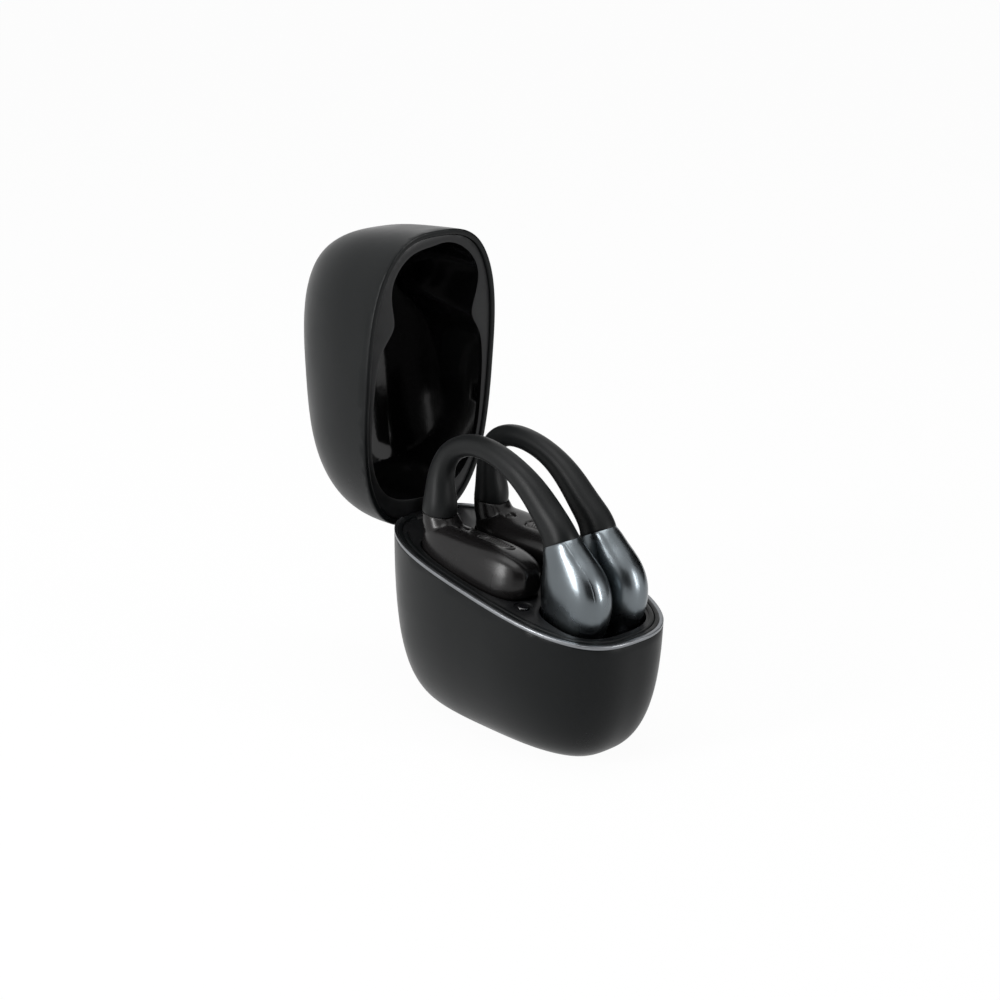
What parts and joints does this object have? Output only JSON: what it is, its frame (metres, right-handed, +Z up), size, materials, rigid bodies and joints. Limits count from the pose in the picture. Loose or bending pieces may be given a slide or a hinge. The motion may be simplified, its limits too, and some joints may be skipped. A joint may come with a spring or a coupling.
{
  "type": "open ear earbuds in charging case",
  "caption": "Open-ear hook earbuds standing in a pebble-shaped charging case with its hinged lid swung open.",
  "frame": {"origin": "centre of the flat foot under the case", "axes": "+Z up, +Y towards the lid hinge, +X across the case; the lid is open at rest"},
  "size_m": [0.0358, 0.0967, 0.1034],
  "materials": {
    "shell_matte_black": "fine matte",
    "gunmetal_trim": "brushed",
    "deck_black": "matte",
    "liner_black": "satin flange, gloss hollow",
    "steel": "plain",
    "magnet_nickel": "nickel plated",
    "cell_foil": "foil wrapped",
    "foam_black": "foam",
    "board_green": "solder mask",
    "gold_contact": "gold plated",
    "button_gloss": "gloss",
    "pod_satin_black": "satin",
    "grille_dark": "dark",
    "silicone_black": "soft matte",
    "pod_metallic_grey": "satin metallic"
  },
  "bodies": {
    "base": {"base_shell": "shell_matte_black", "trim_ring": "gunmetal_trim", "cradle_tray": "deck_black", "hinge_pin": "steel", "case_magnets": "magnet_nickel", "case_battery": "cell_foil", "battery_pad": "foam_black", "case_circuit_board": "board_green", "board_screws": "steel", "usb_c_shell": "steel", "usb_c_tongue": "deck_black", "charging_pin_block": "deck_black", "charging_pin_barrels": "gold_contact", "pairing_switch": "steel"},
    "lid": {"lid_shell": "shell_matte_black", "lid_liner": "liner_black", "lid_hinge_arm": "deck_black", "lid_magnets": "magnet_nickel"},
    "left_earbud": {"left_speaker_housing": "pod_satin_black", "left_speaker_cover": "pod_satin_black", "left_speaker_grille": "grille_dark", "left_microphone_mesh": "grille_dark", "left_speaker_driver": "steel", "left_control_board": "board_green", "left_ear_hook": "silicone_black", "left_hook_wire": "steel", "left_battery_pod_shell": "pod_metallic_grey", "left_battery_pod_cover": "pod_metallic_grey", "left_battery_cell": "cell_foil", "left_charging_contacts": "gold_contact", "left_holding_magnet": "magnet_nickel"},
    "right_earbud": {"right_speaker_housing": "pod_satin_black", "right_speaker_cover": "pod_satin_black", "right_speaker_grille": "grille_dark", "right_microphone_mesh": "grille_dark", "right_speaker_driver": "steel", "right_control_board": "board_green", "right_ear_hook": "silicone_black", "right_hook_wire": "steel", "right_battery_pod_shell": "pod_metallic_grey", "right_battery_pod_cover": "pod_metallic_grey", "right_battery_cell": "cell_foil", "right_charging_contacts": "gold_contact", "right_holding_magnet": "magnet_nickel"},
    "pairing_button": {"pairing_button": "button_gloss"},
    "charging_pin_left_front": {"charging_pin_left_front": "gold_contact"},
    "charging_pin_left_rear": {"charging_pin_left_rear": "gold_contact"},
    "charging_pin_right_front": {"charging_pin_right_front": "gold_contact"},
    "charging_pin_right_rear": {"charging_pin_right_rear": "gold_contact"}
  },
  "joints": [
    {"name": "lid_hinge", "type": "hinge", "parent": "base", "child": "lid", "pos_m": [0, 0.0318, 0.03818], "axis": [-1, 0, 0], "range_deg": [-93.7, 0]},
    {"name": "left_earbud_lift", "type": "slide", "parent": "base", "child": "left_earbud", "axis": [0, 0, 1], "range_m": [0, 0.04]},
    {"name": "right_earbud_lift", "type": "slide", "parent": "base", "child": "right_earbud", "axis": [0, 0, 1], "range_m": [0, 0.04]},
    {"name": "pairing_button_press", "type": "slide", "parent": "base", "child": "pairing_button", "axis": [0, -0.1781, 0.984], "range_m": [-0.0003, 0], "stiffness_N_per_m": 1500},
    {"name": "charging_pin_left_front_travel", "type": "slide", "parent": "base", "child": "charging_pin_left_front", "axis": [0, 0, 1], "range_m": [-0.0005, 0], "stiffness_N_per_m": 600},
    {"name": "charging_pin_left_rear_travel", "type": "slide", "parent": "base", "child": "charging_pin_left_rear", "axis": [0, 0, 1], "range_m": [-0.0005, 0], "stiffness_N_per_m": 600},
    {"name": "charging_pin_right_front_travel", "type": "slide", "parent": "base", "child": "charging_pin_right_front", "axis": [0, 0, 1], "range_m": [-0.0005, 0], "stiffness_N_per_m": 600},
    {"name": "charging_pin_right_rear_travel", "type": "slide", "parent": "base", "child": "charging_pin_right_rear", "axis": [0, 0, 1], "range_m": [-0.0005, 0], "stiffness_N_per_m": 600}
  ]
}
